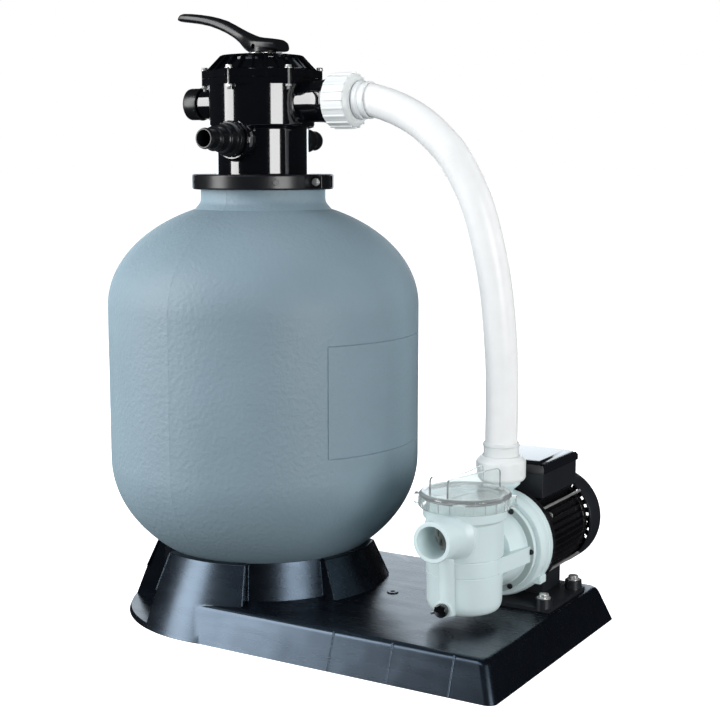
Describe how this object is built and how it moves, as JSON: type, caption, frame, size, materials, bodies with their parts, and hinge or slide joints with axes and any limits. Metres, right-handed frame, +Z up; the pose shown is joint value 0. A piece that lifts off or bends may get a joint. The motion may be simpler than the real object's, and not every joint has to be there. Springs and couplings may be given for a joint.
{
  "type": "sand filter tank",
  "caption": "Sand filter tank on a moulded base, with a top-mounted selector valve, a pump with a strainer pot and finned motor beside it, and a hose that joins pump and valve.",
  "frame": {"origin": "centre of the bounding box's footprint, on the floor that the base stands on", "axes": "+X from the tank towards the pump, +Y towards the back, where the motor's fan is, +Z up along the tank's axis"},
  "size_m": [0.775, 0.54, 0.9656],
  "materials": {
    "tank": "fine satin texture",
    "base": "semi-gloss",
    "valve_black": "glossy",
    "inner_plastic": "satin",
    "white_plastic": "satin",
    "pump_grey": "satin",
    "clear_plastic": "transparent",
    "motor_metal": "black satin paint",
    "motor_plastic": "satin",
    "winding": "lacquered windings on a steel core",
    "steel": "bright",
    "rubber": "matte"
  },
  "bodies": {
    "static": {"base_moulding": "base", "pump_bolt_1": "steel", "pump_bolt_2": "steel", "pump_bolt_3": "steel", "pump_bolt_4": "steel", "tank_shell": "tank", "neck_o_ring": "rubber", "clamp_front": "valve_black", "clamp_rear": "valve_black", "clamp_bolt_left": "steel", "clamp_bolt_right": "steel", "standpipe": "inner_plastic", "underdrain": "inner_plastic", "top_diffuser": "inner_plastic", "drain_fitting": "valve_black", "valve_body": "valve_black", "valve_lid": "valve_black", "lid_o_ring": "rubber", "lid_screw_1": "steel", "lid_screw_2": "steel", "lid_screw_3": "steel", "lid_screw_4": "steel", "lid_screw_5": "steel", "lid_screw_6": "steel", "spider_gasket": "rubber", "return_hose_tail": "valve_black", "waste_hose_tail": "valve_black", "valve_union_tail": "white_plastic", "hose": "white_plastic", "pump_union_tail": "white_plastic", "strainer_pot": "pump_grey", "strainer_basket": "inner_plastic", "volute_casing": "pump_grey", "mechanical_seal": "rubber", "motor_front_flange": "motor_metal", "motor_frame": "motor_metal", "motor_stator": "winding", "front_bearing": "steel", "rear_bearing": "steel", "fan_cover": "motor_plastic", "terminal_box": "motor_plastic", "terminal_lid": "motor_plastic", "capacitor": "inner_plastic", "cable_gland": "motor_plastic", "motor_foot": "motor_plastic"},
    "selector_seat": {"thrust_washer": "inner_plastic", "rotor_spring": "steel"},
    "selector_rotor": {"valve_rotor": "valve_black", "handle_pin": "steel"},
    "selector_lever": {"valve_handle": "valve_black"},
    "lid_seal": {"lid_gasket": "rubber"},
    "lid": {"strainer_lid": "clear_plastic"},
    "pump_shaft": {"motor_rotor": "steel", "impeller": "motor_plastic", "motor_fan": "motor_plastic"},
    "valve_nut": {"valve_union_nut": "white_plastic"},
    "pump_nut": {"pump_union_nut": "white_plastic"},
    "side_cap": {"blanking_cap": "valve_black"},
    "tank_drain_cap": {"drain_cap": "valve_black"},
    "pump_drain_plug": {"drain_plug": "valve_black"}
  },
  "joints": [
    {"name": "selector_turn", "type": "hinge", "parent": "static", "child": "selector_seat", "pos_m": [-0.1375, -0.02, 0.885], "axis": [0, 0, 1], "continuous": true},
    {"name": "rotor_lift", "type": "slide", "parent": "selector_seat", "child": "selector_rotor", "axis": [0, 0, 1], "range_m": [0, 0.0061], "deforming": ["rotor_spring"]},
    {"name": "handle_press", "type": "hinge", "parent": "selector_rotor", "child": "selector_lever", "pos_m": [-0.1375, -0.02, 0.906], "axis": [0, -1, 0], "range_deg": [0, 12], "stiffness_Nm_per_rad": 20, "springref_deg": -8.59},
    {"name": "lid_lift", "type": "slide", "parent": "static", "child": "lid_seal", "axis": [0, 0, 1], "range_m": [0, 0.15]},
    {"name": "lid_turn", "type": "hinge", "parent": "lid_seal", "child": "lid", "pos_m": [0.2585, -0.078, 0.235], "axis": [0, 0, 1], "range_deg": [0, 45]},
    {"name": "pump_spin", "type": "hinge", "parent": "static", "child": "pump_shaft", "pos_m": [0.2605, -0.02, 0.147], "axis": [0, 1, 0], "continuous": true},
    {"name": "valve_union_nut_turn", "type": "hinge", "parent": "static", "child": "valve_nut", "pos_m": [0.0025, -0.02, 0.82], "axis": [1, 0, 0], "continuous": true},
    {"name": "pump_union_nut_turn", "type": "hinge", "parent": "static", "child": "pump_nut", "pos_m": [0.2625, 0.034, 0.265], "axis": [0, 0, 1], "continuous": true},
    {"name": "blanking_cap_turn", "type": "hinge", "parent": "static", "child": "side_cap", "pos_m": [-0.2675, -0.02, 0.82], "axis": [-1, 0, 0], "continuous": true},
    {"name": "drain_cap_turn", "type": "hinge", "parent": "static", "child": "tank_drain_cap", "pos_m": [-0.1375, -0.02, 0.15], "axis": [-0.7071, 0.7071, 0], "continuous": true},
    {"name": "drain_plug_turn", "type": "hinge", "parent": "static", "child": "pump_drain_plug", "pos_m": [0.2575, -0.14, 0.087], "axis": [0, -1, 0], "continuous": true}
  ],
  "couplings": [
    {"joint": "rotor_lift", "follows": "handle_press", "m_per_rad": 0.02865}
  ]
}
